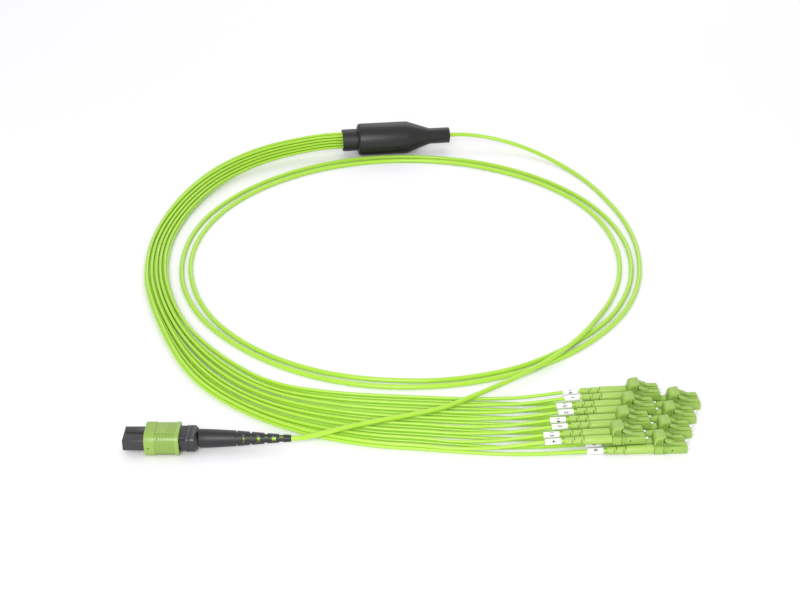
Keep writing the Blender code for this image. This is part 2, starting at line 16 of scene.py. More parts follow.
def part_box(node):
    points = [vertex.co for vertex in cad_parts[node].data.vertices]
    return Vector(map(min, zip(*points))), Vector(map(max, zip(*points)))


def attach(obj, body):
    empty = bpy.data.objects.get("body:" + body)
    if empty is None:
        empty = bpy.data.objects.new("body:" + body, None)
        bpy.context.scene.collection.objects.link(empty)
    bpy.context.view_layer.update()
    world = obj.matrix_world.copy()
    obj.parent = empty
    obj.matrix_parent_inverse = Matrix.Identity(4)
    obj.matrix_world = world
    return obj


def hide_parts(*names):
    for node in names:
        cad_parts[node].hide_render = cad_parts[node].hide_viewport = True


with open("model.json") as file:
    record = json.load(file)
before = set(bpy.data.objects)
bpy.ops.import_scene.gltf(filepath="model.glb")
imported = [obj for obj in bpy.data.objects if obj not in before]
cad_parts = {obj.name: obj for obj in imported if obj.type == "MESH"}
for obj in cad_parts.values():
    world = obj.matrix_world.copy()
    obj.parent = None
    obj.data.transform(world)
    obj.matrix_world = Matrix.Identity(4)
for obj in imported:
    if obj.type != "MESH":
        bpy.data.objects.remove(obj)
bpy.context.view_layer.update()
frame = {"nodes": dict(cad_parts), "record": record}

bl_info = {
    "name": "Fibre breakout cable",
    "version": (1, 0, 0),
    "blender": (4, 5, 0),
    "location": "3D View > Sidebar > Breakout cable",
    "description": "Builds the jackets, sleeves, plugs and finishes of a sixteen-fibre breakout cable",
    "category": "Object",
}

MM = 0.001
CABLE = "cable"
COUPLING_BODY = "coupling_sleeve"
CREASE_ANGLE = math.radians(35)

# How many times coarser a finish's slow noise is than its grain
SLOW_NOISE = 40

# In millimetres: how far a cutter reaches past a plug, and how near two edges count as level
OUTSIDE = 8
NEAR = 0.01

# The legs in the order of the plugs, from the rear row to the front one
ROWS = 4
LEGS = 4 * ROWS
PAIRS = [(LEGS + 1 - number, number) for number in range(1, 2 * ROWS + 1)]
UPPER_LEGS = [number for pair in PAIRS[:ROWS] for number in pair]
LOWER_LEGS = [number for pair in PAIRS[ROWS:] for number in pair]

# The trunk's route in millimetres, between the big plug and the breakout body
TRUNK_ROUTE = (
    (-67, -195.5, 7.2), (-58, -192.2, 7.0), (-42, -185, 6.6), (-23, -178.4, 6.6),
    (-5, -172.6, 6.6), (12, -166.3, 6.6), (32, -153.4, 6.6), (47, -141.4, 5.7), (66, -125.3, 5.0),
    (83, -108.7, 4.9), (99, -89.3, 4.9), (106.6, -77.5, 4.7), (113, -64.6, 3.2), (125.6, -38, 1.6),
    (134, -12, 1.6), (138, 15, 1.6), (137.5, 43, 1.6), (131.5, 73, 1.6), (117, 105, 1.6),
    (94, 132.8, 1.6), (65, 153.7, 1.6), (35, 166.9, 1.6), (11, 171.6, 1.6), (-12, 172.4, 1.6),
    (-43, 167.7, 1.6), (-73, 156.3, 1.6), (-102, 136.4, 1.6), (-129.6, 104.7, 1.6), (-144, 76, 1.6),
    (-152.4, 43, 1.6), (-153.3, 8, 1.6), (-150, -12, 1.6), (-142, -38, 1.6), (-129.5, -62.8, 1.6),
    (-111, -86.3, 1.6), (-84, -108.6, 1.6), (-59.5, -121.3, 1.6), (-35, -128.4, 1.6), (-11.6, -131, 1.6),
    (12, -130.6, 1.6), (36, -125.8, 1.6), (60.6, -116.3, 1.6), (83.8, -101, 1.6), (102.5, -84, 1.6),
    (120.4, -62.8, 1.6), (133.5, -38, 1.6), (142, -12, 1.6), (145.9, 15, 1.6), (145, 43, 1.6),
    (138.4, 73, 1.6), (124, 105, 1.6), (104, 131.2, 1.6), (80.4, 152.1, 1.6), (50.5, 168.6, 1.6),
    (19.7, 177, 1.6), (-11.6, 179.2, 1.6), (-43, 175.3, 1.6), (-73.5, 164, 1.6), (-103, 144.4, 1.6),
    (-130.5, 114.7, 1.6), (-149, 81, 1.6), (-158.5, 43.4, 1.6), (-159.4, 10.7, 1.6), (-156.4, -12, 1.6),
    (-148.6, -38, 1.6), (-136.2, -62.8, 1.6), (-118, -86.3, 1.6), (-93, -109, 1.6), (-71.5, -122.5, 1.6),
    (-47, -132.3, 1.6), (-23.4, -137, 1.6), (0, -137.6, 1.6), (24, -134.6, 1.6), (48, -127.4, 1.6),
    (73, -115.4, 1.6), (99, -96, 1.6), (112, -82.3, 1.6), (126.7, -62.8, 1.6), (139.4, -38, 1.6),
    (147.6, -12, 1.6), (151.7, 15, 1.6), (152.3, 43, 1.6), (149, 73, 1.6), (141, 105, 1.6),
    (126.5, 142, 1.6), (113, 163.5, 2.2), (98, 179.5, 3.9), (82, 190.4, 6.2), (66, 196, 8.8),
    (50, 198.3, 11), (36, 197.9, 12.3),
)

# The legs' bundle in millimetres: x, y, lift off the floor, twist in degrees, and spread from 0
# (a tight bundle) to 1 (two flat layers of eight)
BUNDLE_ROUTE = (
    (-56.85, 186.29, 5.4, -90, 0), (-66.8, 185.0, 5.4, -90, 0), (-89, 179.6, 4.0, -87, 0),
    (-119, 163, 2.6, -76, 0), (-147, 132.5, 1.2, -56, 0), (-165, 95.5, 0.4, -34, 0.01),
    (-173.5, 65, 0, -16, 0.03), (-177, 37, 0, -5, 0.05), (-176.3, 9.5, 0, 0, 0.06),
    (-172.4, -16.6, 0, 0, 0.07), (-165.4, -41.8, 0, 0, 0.08), (-156.4, -65.9, 0, 0, 0.11),
    (-145.5, -88.8, 0, 0, 0.2), (-132.6, -110.2, 0, 0, 0.34), (-118.5, -128, 0, 0, 0.45),
    (-105.5, -140.6, 0, 0, 0.5), (-93, -149.7, 0, 0, 0.56), (-80.8, -156.4, 0, 0, 0.64),
    (-69, -161.2, 0, 0, 0.73), (-45.8, -167.8, 0, 0, 0.87), (-23, -171.8, 0, 0, 0.97),
    (0, -174, 0, 0, 1),
)
LEG_PITCH = 2.35
SPREAD_PITCH = 6.6
FLOOR_GAP = 0.1
UPPER_SLOTS = ((2, 1), (1.5, 0), (1, 1), (0, 1), (-0.5, 0), (-1, 1), (-1.5, 0), (-2, 1))
LOWER_SLOTS = ((2.5, 0), (2, -1), (1, -1), (0.5, 0), (0, -1), (-1, -1), (-2, -1), (-2.5, 0))

# Each leg's way into its boot: back from the boot, and the share of its rise that is done
LEAD_IN = ((50, 0), (37, 0.12), (23, 0.52), (10, 0.92), (0, 1))
LEG_ENTRY = 1.0
TRUNK_ENTRY = 34.0
SLEEVE_ENTRY = 1.2
TRUNK_LEAD = 3.0
COLLAR_ENTRY = 1.8

# Duplex plug, in millimetres: X = 0 at the clip's rear face, the plug's axis along +X
BODY_HALF = 2.26
BODY_LENGTH = 18.4
PLUG_PITCH = 6.25
MOUNT_DROP = 1.4
BODY_START = 5.15
BODY_FRONT_CHAMFER = 0.5
BODY_NECK = (-2.5, 6.0, 1.75, 1.75)
BODY_BOSS = (5.75, -1.55, 0.75, 0.3)
RIB_START = 5.6
RIB_PITCH = 0.5
RIB_COUNT = 5
RIB_DEPTH = 0.12
HOLE_MIDDLE = (9.8, -0.25)
HOLE_SIZE = (0.8, 1.4)
HOLE_DEPTH = 1.1
HOLE_SLANT = math.radians(20)
BODY_EDGE = 0.2
FERRULE_MOUTH_DIA = 3.3
FERRULE_MOUTH_DEPTH = 1.7
LATCH_WIDTH = 2.8
LATCH_WAIST = (9.2, 11.6, 2.2)
LATCH_EDGE = 0.16
LATCH_SIDE = (
    (17.8, 1.9), (17.8, 2.85), (17.45, 3.3), (12.2, 3.3), (11.6, 3.6), (10.9, 4.3), (9.9, 4.75),
    (9.0, 5.0), (5.9, 6.3), (5.4, 6.1), (5.4, 5.5), (8.2, 4.1), (10.6, 3.05), (11.8, 2.7), (14.8, 2.65),
    (14.8, 1.9),
)
LATCH_HOLE = (10.3, 0.8)
BOOT_REAR = -26.4
BOOT_BORE_DIA = 2.3
BOOT_BORE_DEPTH = 1.3
BOOT_SIDES = 16
BOOT_STATIONS = (
    (0, 1.95), (4.0, 2.02), (4.9, 2.05), (9.3, 2.16), (10.6, 2.2), (11.1, 2.46), (18, 2.5), (26.1, 2.5),
)
BOOT_SIDE_SLITS = ((4.1, 0.7), (9.35, 0.6))
BOOT_TOP_SLITS = ((5.35, 0.6), (10.6, 0.5))
BOOT_SLIT_FLOOR = 1.0
BOOT_EDGE = 0.28
FIBRE_FERRULE = ((15.6, 1.15), (16.7, 1.15), (16.9, 0.625), (19.97, 0.625), (20.15, 0.46))

# Duplex clip, in the middle between its two plugs
CLIP_LENGTH = 4.85
CLIP_HALF = 5.6
CLIP_TOP = 2.46
CLIP_CHAMFER = 0.3
CLIP_BORE_HALF = 2.05
CLIP_NOTCH = (0.9, 1.7, -1.8)
CLIP_EDGE = 0.08
TRIGGER_WIDTH = 7.7
TRIGGER_FOOT = 2.2
TRIGGER_REAR = 0.03
TRIGGER_BEND = 2.5
TRIGGER_BEND_STEP = 12
TRIGGER_TOP = 7.9
TRIGGER_LIP = (5.85, 8.34)
TRIGGER_UNDER = (
    (6.05, 8.1), (6.0, 7.8), (5.2, 7.2), (4.75, 6.6), (4.6, 5.9), (4.82, 3.4), (4.82, 2.2),
)
TRIGGER_EDGE = 0.15
TRIGGER_RIBS = 10
TRIGGER_RIB_START = 0.2
TRIGGER_RIB_INSET = 0.3
TRIGGER_RIB_DEPTH = 0.07
WEB_SIDE = (
    (0.75, 2.5), (0.85, 4.0), (1.3, 5.3), (2.1, 6.2), (3.2, 6.45), (3.9, 6.1), (4.15, 5.4), (4.25, 4.0),
    (4.35, 2.5),
)
WEB_DEPTH = 1.7

# Multi-fibre plug, in millimetres: X = 0 at its front, the plug's axis along +X
NOSE_END = 30.7
NOSE_HALF = (7.0, 3.4)
NOSE_CHAMFER = 0.55
NOSE_EDGE = 0.12
KEY = (1.0, 12.9, 0.5, 5.5, 4.1)
KEY_EDGE = 0.2
KEY_GROOVE = (-0.5, 0.02, 2.9)
POCKET = (11.8, 5.0, 2.1)
ARRAY_FERRULE = (0.5, 11.5, 4.7, 1.8)
PIN_SPREAD = 4.6
PIN_DIA = 0.7
ARRAY_EDGE = 0.25
ARRAY_SLOT = (3.0, 0.4, 0.12)
COUPLING = (12.0, 31.0, 9.2, 7.2)
COUPLING_ROUND = 5.0
COUPLING_EDGE = 0.45
COUPLING_BORE = (7.375, 4.6)
WAIST = (17.7, 29.3, 0.3)
GROOVE_START = 18.3
GROOVE_PITCH = 1.2
GROOVE_COUNT = 9
GROOVE_WIDTH = 0.55
GROOVE_DEPTH = 0.7
PANEL = (18.0, 29.1, -4.4, 5.4, 6.75)
PANEL_BARS = (23.7, 25.0, 26.3, 27.6)
PANEL_BAR = (0.6, -3.4, 4.4, 7.05)
PANEL_BAR_EDGE = 0.12
SIDE_HOLE = (14.4, -0.35, 0.5)
NECK = (31.0, 36.0, 6.5, 4.3)
NECK_SLOTS = ((31.2, 34.2, -4.0, -3.5, 3.8), (31.4, 34.2, -7.0, -5.6, 3.2))
CRIMP = (34.5, 41.0, 7.15, 4.7)
CRIMP_CHAMFER = 1.2
CRIMP_REAR_CHAMFER = 1.9
CRIMP_SEAM = (36.0, 0.25, 0.2)
CRIMP_EDGE = 0.12
PLUG_BOOT_START = 41.3
PLUG_BOOT_STATIONS = (
    (8, 1.62), (0, 1.62), (0, 5.0), (0.7, 5.25), (8, 5.05), (19.6, 4.4), (24, 4.02), (46.5, 2.18),
    (49.9, 2.02), (50.7, 1.85), (50.7, 1.62), (9, 1.62),
)
PLUG_BOOT_ROLL = math.radians(-33)
TOP_SLOTS = ((20.6, 0.8), (28.4, 1.3), (36.8, 1.9), (45.2, 2.4))
TOP_SLOT_WINDOW = (0.5, 1.25)
TOP_SLOT_SHARE = 0.76
SIDE_SLOTS = ((24.5, 1.4), (32.7, 2.1), (41.2, 2.5))
SIDE_SLOT_WINDOW = (-1.4, 0.8)
SIDE_SLOT_SHARE = 0.8

# Breakout body, in millimetres: X = 0 at its leg end, its axis along +X
BREAKOUT_YAW = math.radians(7.1)
BREAKOUT_STATIONS = (
    (2.6, 8.8), (0.5, 9.0), (0, 9.6), (0, 10.6), (0.5, 11.6), (1.3, 12.2), (2.2, 12.4), (38.2, 12.4),
    (39.4, 12.2), (56.2, 6.3), (57.4, 6.1), (72.0, 6.1), (72.5, 5.8), (72.5, 5.0), (71.0, 4.8),
)
COLLAR_STATIONS = ((-9.9, 7.4), (-11.6, 7.5), (-11.9, 7.8), (-11.9, 8.2), (-11.5, 8.5), (2.3, 8.5))

# Number sleeves
SLEEVE_DIA = 3.4
SLEEVE_WALL = 0.65
SLEEVE_LENGTH = 8.8
SLEEVE_BACK = 1.85
SLEEVE_RIM = 0.15
DIGIT_SIZE = 3.1
DIGIT_BOLD = 0.05
DIGIT_RAISE = 0.03
DIGIT_TURN = 45
DIGIT_TURN_STEP = 6
DIGIT_STRIPS = 9


# Places read from the frame


def linear(hex_colour):
    """A colour given as sRGB hex, such as 'B4E556', as linear RGBA."""
    values = [int(hex_colour[i : i + 2], 16) / 255 for i in (0, 2, 4)]
    return tuple(v / 12.92 if v <= 0.04045 else ((v + 0.055) / 1.055) ** 2.4 for v in values) + (1.0,)


def centre(node):
    """The middle of a node's box in the frame."""
    low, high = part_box(node)
    return (low + high) / 2


def placed(origin, yaw=0):
    return Matrix.Translation(origin) @ Matrix.Rotation(yaw, 4, "Z")


def duplex_plug_place(number):
    """A duplex plug's own axes in the frame, from the mount on its front face."""
    mount = next(m for m in frame["record"]["mounts"] if m["name"] == f"lc_{number:02d}_front")
    ahead = Vector(mount["axis"])
    origin = Vector(mount["pos_m"]) - ahead * BODY_LENGTH * MM + Vector((0, 0, MOUNT_DROP * MM))
    return placed(origin, math.atan2(ahead.y, ahead.x))


def big_plug_place():
    boot = centre("mpo_boot")
    return placed(Vector((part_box("mpo_housing")[0].x, boot.y, boot.z)))


def breakout_place():
    """The breakout body's own axes: its origin is the middle of its leg end."""
    turn = Matrix.Rotation(-BREAKOUT_YAW, 3, "Z")
    points = np.array([turn @ v.co for v in frame["nodes"]["breakout_body"].data.vertices])
    low, high = points.min(axis=0), points.max(axis=0)
    leg_end = Vector((low[0], (low[1] + high[1]) / 2, (low[2] + high[2]) / 2))
    return placed(turn.inverted() @ leg_end, BREAKOUT_YAW)


# Cords


def smooth_route(points, count, knots=None):
    """Points along a smooth curve through the chosen ones, evenly spread over the knots."""
    route = np.array(points, dtype=float)
    if knots is None:
        knots = route_knots(route)
    steps = np.diff(knots)[:, None]
    slopes = np.diff(route, axis=0) / steps
    inner = (steps[1:] * slopes[:-1] + steps[:-1] * slopes[1:]) / (steps[1:] + steps[:-1])
    tangents = np.vstack([1.5 * slopes[:1] - 0.5 * inner[:1], inner, 1.5 * slopes[-1:] - 0.5 * inner[-1:]])
    places = np.linspace(knots[0], knots[-1], count)
    i = np.clip(np.searchsorted(knots, places, side="right") - 1, 0, len(steps) - 1)
    h = steps[i]
    t = ((places - knots[i]) / h[:, 0])[:, None]
    start = (2 * t**3 - 3 * t**2 + 1) * route[i] + (t**3 - 2 * t**2 + t) * h * tangents[i]
    return start + (3 * t**2 - 2 * t**3) * route[i + 1] + (t**3 - t**2) * h * tangents[i + 1]


def route_knots(route):
    lengths = np.linalg.norm(np.diff(route, axis=0), axis=1)
    return np.concatenate([[0.0], np.cumsum(lengths)])


def trunk_points(count):
    """The trunk's centreline in metres, from inside the big plug's boot into the breakout's sleeve."""
    plug, breakout = big_plug_place(), breakout_place()
    boot_end = PLUG_BOOT_START + PLUG_BOOT_STATIONS[-2][0]
    sleeve_end = BREAKOUT_STATIONS[-2][0]
    lead = (-TRUNK_ENTRY, -TRUNK_ENTRY / 2, 0, TRUNK_LEAD)
    start = [plug @ Vector(((boot_end + ahead) * MM, 0, 0)) for ahead in lead]
    end = [breakout @ Vector(((sleeve_end + ahead) * MM, 0, 0)) for ahead in (TRUNK_LEAD, -SLEEVE_ENTRY)]
    chosen = [Vector(point) * MM for point in TRUNK_ROUTE]
    return smooth_route([tuple(point) for point in (*start, *chosen, *end)], count)


def leg_station(gate, side, slot, column, layer, leg_dia):
    """Where one leg crosses a gate of the bundle's route, in millimetres."""
    x, y, lift, twist, spread = gate
    row_rise = LEG_PITCH * math.sqrt(3) / 2
    across = (1 - spread) * slot[0] * LEG_PITCH + spread * column * SPREAD_PITCH
    rise = (1 - spread) * slot[1] * row_rise + spread * layer * LEG_PITCH / 2
    angle = math.radians(twist)
    sideways = across * math.cos(angle) - rise * math.sin(angle)
    upwards = across * math.sin(angle) + rise * math.cos(angle)
    half_width = (1 - spread) * 2.5 * LEG_PITCH * abs(math.sin(angle))
    half_height = ((1 - spread) * row_rise + spread * LEG_PITCH / 2) * math.cos(angle)
    middle = half_width + half_height + leg_dia / 2 + FLOOR_GAP + lift
    return Vector((x + side[0] * sideways, y + side[1] * sideways, middle + upwards)) * MM


def leg_points(count, leg_dia):
    """The centrelines of all sixteen legs in metres, keyed by the leg's number."""
    ahead = np.gradient(np.array([gate[:2] for gate in BUNDLE_ROUTE], dtype=float), axis=0)
    ahead /= np.linalg.norm(ahead, axis=1)[:, None]
    sides = [(-dy, dx) for dx, dy in ahead]
    into_collar = Vector((math.cos(BREAKOUT_YAW), math.sin(BREAKOUT_YAW), 0)) * COLLAR_ENTRY * MM
    controls = {}
    for numbers, slots, layer in ((UPPER_LEGS, UPPER_SLOTS, 1), (LOWER_LEGS, LOWER_SLOTS, -1)):
        for index, number in enumerate(numbers):
            column = (len(numbers) - 1) / 2 - index
            stations = [
                leg_station(gate, side, slots[index], column, layer, leg_dia)
                for gate, side in zip(BUNDLE_ROUTE, sides)
            ]
            start_z = stations[-1].z
            place = duplex_plug_place(number)
            entry = place @ Vector((BOOT_REAR * MM, 0, 0))
            yaw = place.to_euler().z
            for back, risen in LEAD_IN:
                aside = back * (1 - back / LEAD_IN[0][0] / 2) * math.sin(yaw)
                height = start_z + (entry.z - start_z) * risen
                stations.append(Vector((entry.x - back * MM, entry.y - aside * MM, height)))
            stations.append(place @ Vector(((BOOT_REAR + LEG_ENTRY) * MM, 0, 0)))
            controls[number] = np.array([stations[0] + into_collar, *stations])
    knots = route_knots(np.mean([controls[number] for number in sorted(controls)], axis=0))
    return {number: smooth_route(stations, count, knots) for number, stations in controls.items()}


def lay_cord(name, points, diameter, material):
    curve = bpy.data.curves.new(name, "CURVE")
    curve.dimensions = "3D"
    curve.bevel_depth = diameter / 2
    curve.bevel_resolution = 4
    curve.use_fill_caps = True
    spline = curve.splines.new("POLY")
    spline.points.add(len(points) - 1)
    spline.points.foreach_set("co", np.column_stack([points, np.ones(len(points))]).ravel())
    spline.use_smooth = True
    curve.materials.append(material)
    obj = bpy.data.objects.new(name, curve)
    bpy.context.scene.collection.objects.link(obj)
    return obj


# Modelling steps


def only(obj):
    """Leaves just this object selected and active."""
    bpy.ops.object.select_all(action="DESELECT")
    obj.select_set(True)
    bpy.context.view_layer.objects.active = obj


def named(name):
    """Names the new primitive and applies its place, so that its origin is the frame's."""
    obj = bpy.context.object
    obj.name = name
    bpy.ops.object.transform_apply(location=True, rotation=True, scale=True)
    return obj


def block(name, low, high):
    """A box between two corners."""
    low, high = Vector(low) * MM, Vector(high) * MM
    bpy.ops.object.select_all(action="DESELECT")
    bpy.ops.mesh.primitive_cube_add(size=1, location=(low + high) / 2, scale=high - low)
    return named(name)


def centred_block(name, start, end, half_y, half_z):
    return block(name, (start, -half_y, -half_z), (end, half_y, half_z))


def rod(name, middle, radius, length, turn, sides=24):
    """A cylinder about its middle, its axis turned from Z by the given angles."""
    bpy.ops.object.select_all(action="DESELECT")
    bpy.ops.mesh.primitive_cylinder_add(
        vertices=sides, radius=radius * MM, depth=length * MM, location=Vector(middle) * MM, rotation=turn)
    return named(name)


def lathe(name, stations, sides=48):
    """A solid turned about X: a disc that is extruded and scaled through (x, radius) stations."""
    (x, radius), *rest = stations
    bpy.ops.object.select_all(action="DESELECT")
    bpy.ops.mesh.primitive_circle_add(
        vertices=sides, radius=radius * MM, fill_type="NGON", location=(x * MM, 0, 0),
        rotation=(0, math.pi / 2, 0))
    obj = named(name)
    bpy.ops.object.mode_set(mode="EDIT")
    bpy.ops.mesh.select_all(action="SELECT")
    for next_x, next_radius in rest:
        scale = next_radius / radius
        bpy.ops.mesh.extrude_region_move(TRANSFORM_OT_translate={"value": ((next_x - x) * MM, 0, 0)})
        bpy.ops.transform.resize(value=(1, scale, scale), center_override=(next_x * MM, 0, 0))
        x, radius = next_x, next_radius
    close_up()
    return obj


def side_view(name, points, width, y=0):
    """A solid of a side view's (x, z) outline: a disc moved onto it and extruded along Y."""
    bpy.ops.object.select_all(action="DESELECT")
    bpy.ops.mesh.primitive_circle_add(vertices=len(points), radius=MM, fill_type="NGON")
    obj = named(name)
    for vertex, (x, z) in zip(obj.data.vertices, points):
        vertex.co = Vector((x, y - width / 2, z)) * MM
    bpy.ops.object.mode_set(mode="EDIT")
    bpy.ops.mesh.select_all(action="SELECT")
    bpy.ops.mesh.extrude_region_move(TRANSFORM_OT_translate={"value": (0, width * MM, 0)})
    close_up()
    return obj


def close_up():
    """Turns all faces outwards and leaves edit mode."""
    bpy.ops.mesh.select_all(action="SELECT")
    bpy.ops.mesh.normals_make_consistent(inside=False)
    bpy.ops.object.mode_set(mode="OBJECT")


def bevel_edges(obj, test, offset, segments=1):
    """Bevels the edges whose two ends, in millimetres, pass the test."""
    only(obj)
    bpy.ops.object.mode_set(mode="EDIT")
    bpy.ops.mesh.select_mode(type="EDGE")
    bpy.ops.mesh.select_all(action="DESELECT")
    mesh = bmesh.from_edit_mesh(obj.data)
    for edge in mesh.edges:
        edge.select_set(test(edge.verts[0].co / MM, edge.verts[1].co / MM))
    bmesh.update_edit_mesh(obj.data)
    bpy.ops.mesh.bevel(offset=offset * MM, segments=segments, affect="EDGES")
    bpy.ops.object.mode_set(mode="OBJECT")
    return obj


def lengthwise(a, b):
    """True for an edge that runs along the plug's axis."""
    return abs(a.x - b.x) > 0.9 * (a - b).length


def apply_modifier(obj, kind, **settings):
    only(obj)
    modifier = obj.modifiers.new(kind.title(), kind)
    for name, value in settings.items():
        setattr(modifier, name, value)
    bpy.ops.object.modifier_apply(modifier=modifier.name)
    return obj


def soften(obj, width, segments=2, angle=30):
    """Rounds all edges sharper than the angle."""
    return apply_modifier(
        obj, "BEVEL", width=width * MM, segments=segments, limit_method="ANGLE",
        angle_limit=math.radians(angle))


def combine(obj, operation, others):
    for other in others:
        apply_modifier(obj, "BOOLEAN", operation=operation, object=other)
        bpy.data.objects.remove(other, do_unlink=True)
    return obj


def cut(obj, *cutters):
    return combine(obj, "DIFFERENCE", cutters)


def fuse(obj, *others):
    return combine(obj, "UNION", others)


def dress(obj, material):
    """Gives a piece its finish and smooth shading, with creases at its sharp edges."""
    only(obj)
    obj.data.materials.clear()
    obj.data.materials.append(material)
    bpy.ops.object.shade_smooth_by_angle(angle=CREASE_ANGLE)
    return obj


def place_piece(obj, matrix, body, slot, *nodes):
    """Moves a finished piece's mesh to its place and ties it to the frame."""
    obj.data.transform(matrix)
    obj.data.update()
    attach(obj, body)
    if nodes:
        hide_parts(*nodes)
    return obj


def copy_piece(source, name):
    """A copy of a piece with a mesh of its own."""
    piece = source.copy()
    piece.data = source.data.copy()
    piece.name = name
    bpy.context.scene.collection.objects.link(piece)
    return piece


# Materials


def add_node(tree, kind, settings=None, **links):
    """Adds a node, sets its properties and its sockets, and links sockets that are given as outputs."""
    node = tree.nodes.new(kind)
    for name, value in (settings or {}).items():
        setattr(node, name, value)
    for name, value in links.items():
        socket = node.inputs[name.replace("_", " ")]
        if isinstance(value, bpy.types.NodeSocket):
            tree.links.new(value, socket)
        else:
            socket.default_value = value
    return node


def finish_of(name, colour, roughness, ior, grain, relief, shade=0.04, sheen=0.04):
    """A moulded, extruded or sintered finish: grain and relief in millimetres, and small variations.

    The grain's noise tints the colour a little, shifts the roughness and lifts the surface. A much
    slower noise gives the unevenness of a real batch.
    """
    material = bpy.data.materials.get(name)
    if material:
        return material
    material = bpy.data.materials.new(name)
    material.use_nodes = True
    tree = material.node_tree
    shader = tree.nodes["Principled BSDF"]
    shader.inputs["IOR"].default_value = ior
    place = add_node(tree, "ShaderNodeTexCoord").outputs["Object"]
    fine = add_node(tree, "ShaderNodeTexNoise", Vector=place, Scale=1 / (grain * MM), Detail=3.0)
    slow = add_node(
        tree, "ShaderNodeTexNoise", Vector=place, Scale=1 / (SLOW_NOISE * grain * MM), Detail=2.0)
    both = add_node(
        tree, "ShaderNodeMix", {"data_type": "FLOAT"}, Factor=0.5, A=fine.outputs["Fac"],
        B=slow.outputs["Fac"])
    value = add_node(
        tree, "ShaderNodeMapRange", Value=both.outputs["Result"], From_Min=0.3, From_Max=0.7,
        To_Min=1 - shade, To_Max=1 + shade)
    tint = add_node(tree, "ShaderNodeHueSaturation", Color=colour, Value=value.outputs["Result"])
    gloss = add_node(
        tree, "ShaderNodeMapRange", Value=both.outputs["Result"], From_Min=0.3, From_Max=0.7,
        To_Min=roughness - sheen, To_Max=roughness + sheen)
    bump = add_node(
        tree, "ShaderNodeBump", Height=fine.outputs["Fac"], Strength=1.0, Distance=relief * MM)
    tree.links.new(tint.outputs["Color"], shader.inputs["Base Color"])
    tree.links.new(gloss.outputs["Result"], shader.inputs["Roughness"])
    tree.links.new(bump.outputs["Normal"], shader.inputs["Normal"])
    return material


def extruded_jacket():
    """Low-smoke cable jacket, extruded: an even satin lime with a soft, slightly waxy shine."""
    return finish_of(
        "extruded_jacket", cords().jacket, roughness=0.27, ior=1.54, grain=0.5, relief=0.006, shade=0.03)


def moulded_green():
    """Glass-filled polyester, injection moulded: a dull even green with a fine eroded grain."""
    return finish_of(
        "moulded_green", plugs().green, roughness=0.46, ior=1.55, grain=0.25, relief=0.01, shade=0.03)


def soft_green():
    """Thermoplastic elastomer boot, moulded: lighter than the plugs, softer in its highlights."""
    return finish_of(
        "soft_green_elastomer", plugs().boot, roughness=0.42, ior=1.5, grain=0.35, relief=0.008, shade=0.03)


def coupling_green():
    """Polycarbonate blend, injection moulded: the coupling's own slightly greyer green."""
    return finish_of(
        "moulded_coupling_green", plugs().coupling, roughness=0.36, ior=1.58, grain=0.3, relief=0.006,
        shade=0.02)


def moulded_black():
    """Black polyetherimide, injection moulded: charcoal with broad grey highlights."""
    return finish_of(
        "moulded_black", plugs().black, roughness=0.34, ior=1.6, grain=0.3, relief=0.008, shade=0.06)


def satin_black():
    """Black polyamide housing, injection moulded: an even satin black, darker than the plug's plastic."""
    return finish_of(
        "satin_black_housing", plugs().housing, roughness=0.4, ior=1.5, grain=0.5, relief=0.006, shade=0.04)


def soft_black():
    """Black elastomer, moulded: a little darker and duller than the hard black plastic."""
    return finish_of(
        "soft_black_elastomer", plugs().rubber, roughness=0.45, ior=1.52, grain=0.4, relief=0.015, shade=0.06)


def sintered_ceramic():
    """Zirconia ferrule, sintered and ground: pure white with a tight glassy shine."""
    return finish_of(
        "sintered_zirconia", plugs().ceramic, roughness=0.14, ior=2.1, grain=0.1, relief=0.001, shade=0.01)


def printed_sleeve():
    """Polyolefin marker sleeve, shrunk on: matt white, a little uneven."""
    return finish_of(
        "white_marker_sleeve", cords().sleeve, roughness=0.5, ior=1.48, grain=0.6, relief=0.01, shade=0.02)


def marker_ink():
    """Printed marker ink: flat black that sits just proud of the sleeve."""
    return finish_of(
        "marker_ink", cords().ink, roughness=0.6, ior=1.45, grain=0.2, relief=0.004, shade=0.08)


def painted_floor():
    """Matt white painted board, as in a small photo studio."""
    return finish_of(
        "matt_white_board", studio().floor, roughness=0.8, ior=1.45, grain=3.0, relief=0.01, shade=0.002)


# Settings


def colour_setting(name, description, hex_colour):
    return FloatVectorProperty(
        name=name, description=description, subtype="COLOR", size=4, min=0, max=1, default=linear(hex_colour))


def length_setting(name, description, length):
    return FloatProperty(name=name, description=description, default=length, unit="LENGTH")


def place_setting(name, description, place):
    return FloatVectorProperty(
        name=name, description=description, subtype="TRANSLATION", size=3, default=place)


class CordSettings(bpy.types.PropertyGroup):
    trunk_dia: length_setting("Trunk diameter", "Outer diameter of the trunk's jacket", 3.0 * MM)
    leg_dia: length_setting("Leg diameter", "Outer diameter of a leg's jacket", 2.0 * MM)
    trunk_points: IntProperty(name="Trunk points", description="Points along the trunk", default=760)
    leg_points: IntProperty(name="Leg points", description="Points along each leg", default=300)
    jacket: colour_setting("Jacket", "Jacket colour", "A8D83A")
    sleeve: colour_setting("Sleeve", "Number sleeve colour", "F4F4F4")
    ink: colour_setting("Ink", "Colour of the printed numbers", "1A1A1C")


class PlugSettings(bpy.types.PropertyGroup):
    green: colour_setting("Plug green", "Duplex plug and clip colour", "94B750")
    boot: colour_setting("Boot green", "Duplex plug boot colour", "A1C359")
    coupling: colour_setting("Coupling green", "Multi-fibre plug's coupling colour", "8AAA4A")
    black: colour_setting("Black plastic", "Hard black plastic colour", "242426")
    housing: colour_setting("Breakout black", "Breakout body's plastic colour", "161617")
    rubber: colour_setting("Black elastomer", "Soft black boot colour", "1A1A1C")
    ceramic: colour_setting("Ceramic", "Ferrule colour", "F6F6F6")


